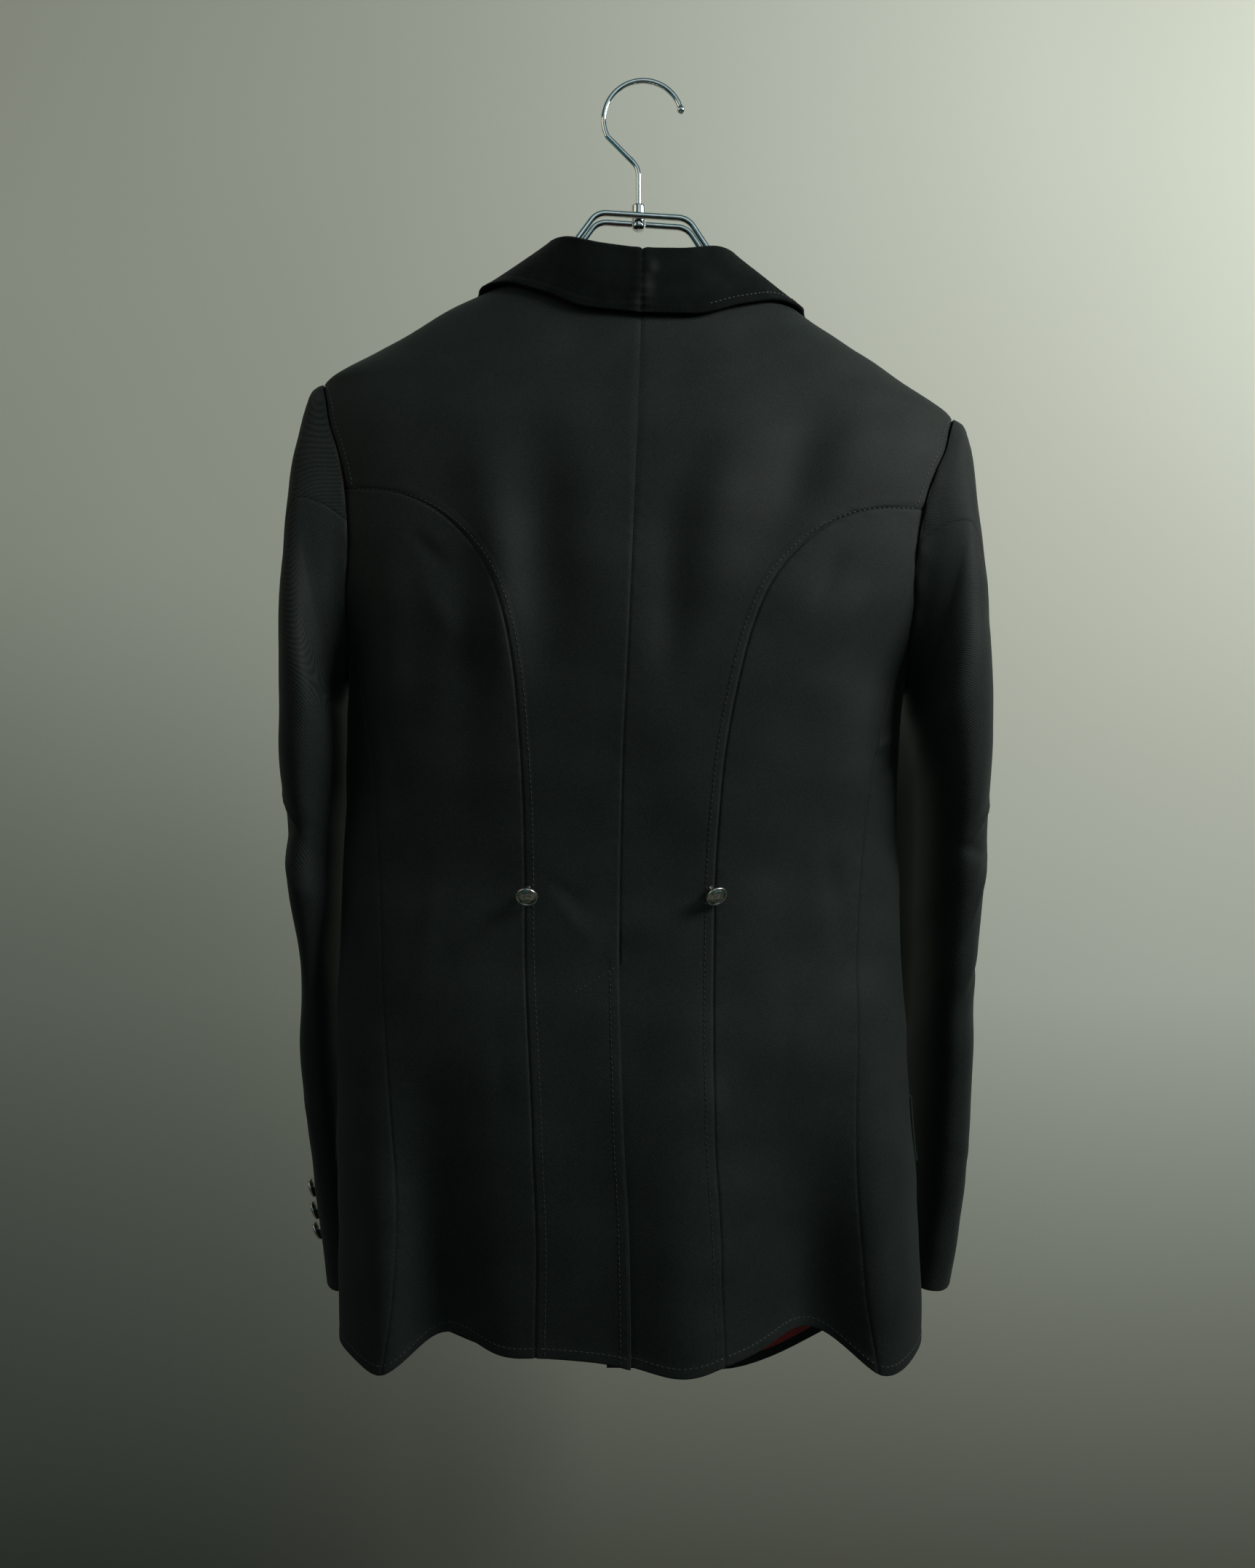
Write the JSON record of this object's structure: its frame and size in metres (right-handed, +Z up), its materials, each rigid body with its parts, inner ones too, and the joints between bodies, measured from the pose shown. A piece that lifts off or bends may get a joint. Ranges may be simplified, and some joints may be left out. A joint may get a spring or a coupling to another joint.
{
  "type": "riding jacket on a hanger",
  "caption": "Tailored riding jacket with a napped collar, curved back seams, centre vent and waist buttons, hung on a chrome wire hanger.",
  "frame": {"origin": "highest point inside the hanger's hook, where a rail carries it", "axes": "+Z up, the jacket's back faces -Y and +X is to the viewer's right when seen from behind"},
  "size_m": [0.4905, 0.2376, 0.9158],
  "materials": {
    "wool": "near-black wool twill, matt",
    "velvet": "napped velvet, very dark",
    "lining": "smooth red lining",
    "silver": "satin silver-coloured metal",
    "chrome": "polished chrome wire"
  },
  "bodies": {
    "root": {"back_left": "wool", "back_right": "wool", "button_back_left": "silver", "button_back_right": "silver", "button_cuff_left_1": "silver", "button_cuff_left_2": "silver", "button_cuff_left_3": "silver", "button_cuff_right_1": "silver", "button_cuff_right_2": "silver", "button_cuff_right_3": "silver", "button_front_1": "silver", "button_front_2": "silver", "button_front_3": "silver", "collar": "velvet", "front_left": "wool", "front_right": "wool", "hanger_ferrule": "chrome", "hanger_hook": "chrome", "hanger_wire": "chrome", "lapel_left": "wool", "lapel_right": "wool", "lining_front_left": "lining", "lining_front_right": "lining", "pocket_flap_left": "wool", "pocket_flap_right": "wool", "side_back_left": "wool", "side_back_right": "wool", "under_sleeve_left": "wool", "under_sleeve_right": "wool", "upper_sleeve_left": "wool", "upper_sleeve_right": "wool"}
  },
  "joints": []
}
